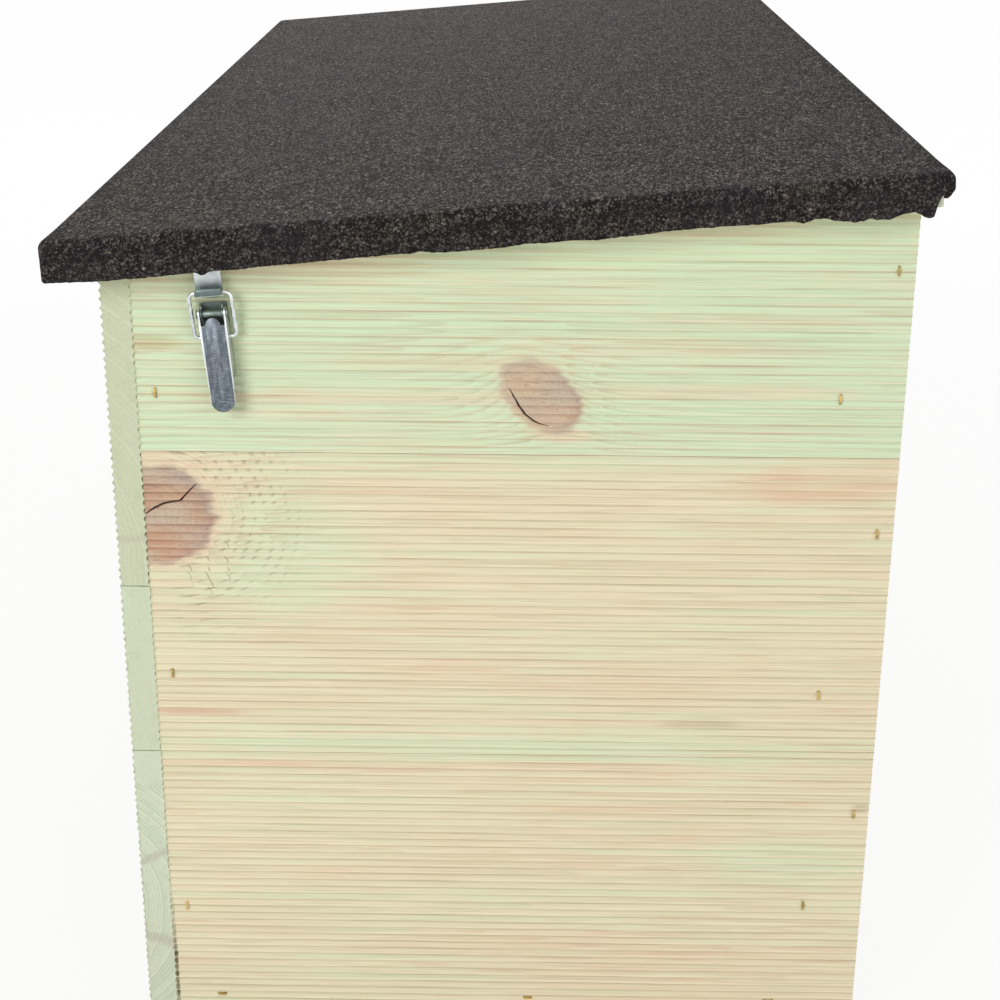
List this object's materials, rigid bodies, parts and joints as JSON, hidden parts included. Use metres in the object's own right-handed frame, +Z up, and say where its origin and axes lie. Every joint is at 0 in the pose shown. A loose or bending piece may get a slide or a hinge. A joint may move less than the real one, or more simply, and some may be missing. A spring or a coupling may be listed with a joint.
{
  "type": "hedgehog house",
  "caption": "Tall board box on a raised floor with a side entrance, an inner partition and a felted pent roof that hinges open and is held by toggle latches.",
  "frame": {"origin": "centre of the outline on the ground, under the roof's middle", "axes": "+Z up, +Y along the long walls to the rear end, +X towards the high wall with the hinges"},
  "size_m": [0.4884, 1.05, 0.5595],
  "materials": {
    "green_board": "ribbed softwood board, green preservative",
    "pale_board": "ribbed softwood board, faint green preservative",
    "inner_timber": "planed softwood",
    "roofing_felt": "bitumen felt with dark mineral grit",
    "zinc_steel": "zinc plated",
    "wire_steel": "dull zinc wire"
  },
  "bodies": {
    "house": {"low_wall_bottom_board": "green_board", "low_wall_middle_board": "green_board", "low_wall_top_board": "green_board", "high_wall_bottom_board": "green_board", "high_wall_middle_board": "green_board", "high_wall_top_board": "green_board", "front_panel_bottom_board": "pale_board", "front_panel_middle_board": "pale_board", "front_panel_top_board": "green_board", "rear_panel_bottom_board": "pale_board", "rear_panel_middle_board": "pale_board", "rear_panel_top_board": "green_board", "corner_post_front_low": "inner_timber", "corner_post_front_high": "inner_timber", "corner_post_rear_low": "inner_timber", "corner_post_rear_high": "inner_timber", "floor_bearer_front": "inner_timber", "floor_bearer_middle": "inner_timber", "floor_bearer_rear": "inner_timber", "floor_board_low_side": "inner_timber", "floor_board_middle": "inner_timber", "floor_board_high_side": "inner_timber", "partition_lower_board": "inner_timber", "partition_upper_board": "inner_timber", "partition_cleat_low": "inner_timber", "partition_cleat_high": "inner_timber", "wall_staples": "wire_steel", "floor_nails": "wire_steel", "front_hinge_wall_leaf": "zinc_steel", "front_hinge_pin": "zinc_steel", "rear_hinge_wall_leaf": "zinc_steel", "rear_hinge_pin": "zinc_steel", "hinge_wall_screws": "zinc_steel", "front_latch_base": "zinc_steel", "front_latch_rivet": "zinc_steel", "rear_latch_base": "zinc_steel", "rear_latch_rivet": "zinc_steel", "latch_base_screws": "zinc_steel"},
    "roof": {"roof_board_1": "inner_timber", "roof_board_2": "inner_timber", "roof_board_3": "inner_timber", "roof_board_4": "inner_timber", "roof_batten_front": "inner_timber", "roof_batten_middle": "inner_timber", "roof_batten_rear": "inner_timber", "roof_felt": "roofing_felt", "batten_screws": "zinc_steel", "front_hinge_roof_leaf": "zinc_steel", "rear_hinge_roof_leaf": "zinc_steel", "hinge_roof_screws": "zinc_steel", "front_latch_hook": "zinc_steel", "rear_latch_hook": "zinc_steel", "latch_hook_screws": "zinc_steel"},
    "front_lever": {"front_latch_lever": "zinc_steel"},
    "front_bail": {"front_latch_bail": "zinc_steel"},
    "rear_lever": {"rear_latch_lever": "zinc_steel"},
    "rear_bail": {"rear_latch_bail": "zinc_steel"}
  },
  "joints": [
    {"name": "roof_hinge", "type": "hinge", "parent": "house", "child": "roof", "pos_m": [0.23758, 0, 0.53693], "axis": [0, 1, 0], "range_deg": [0, 110]},
    {"name": "front_lever_swing", "type": "hinge", "parent": "house", "child": "front_lever", "pos_m": [-0.15602, -0.507, 0.47407], "axis": [-0.9962, 0, -0.0876], "range_deg": [0, 90]},
    {"name": "front_bail_swing", "type": "hinge", "parent": "front_lever", "child": "front_bail", "pos_m": [-0.15479, -0.505, 0.46013], "axis": [-0.9962, 0, -0.0876], "range_deg": [-54, 0]},
    {"name": "rear_lever_swing", "type": "hinge", "parent": "house", "child": "rear_lever", "pos_m": [-0.15602, 0.507, 0.47407], "axis": [0.9962, 0, 0.0876], "range_deg": [0, 90]},
    {"name": "rear_bail_swing", "type": "hinge", "parent": "rear_lever", "child": "rear_bail", "pos_m": [-0.15479, 0.505, 0.46013], "axis": [0.9962, 0, 0.0876], "range_deg": [-54, 0]}
  ],
  "couplings": [
    {"joint": "front_bail_swing", "follows": "front_lever_swing", "ratio": -0.6},
    {"joint": "rear_bail_swing", "follows": "rear_lever_swing", "ratio": -0.6}
  ]
}
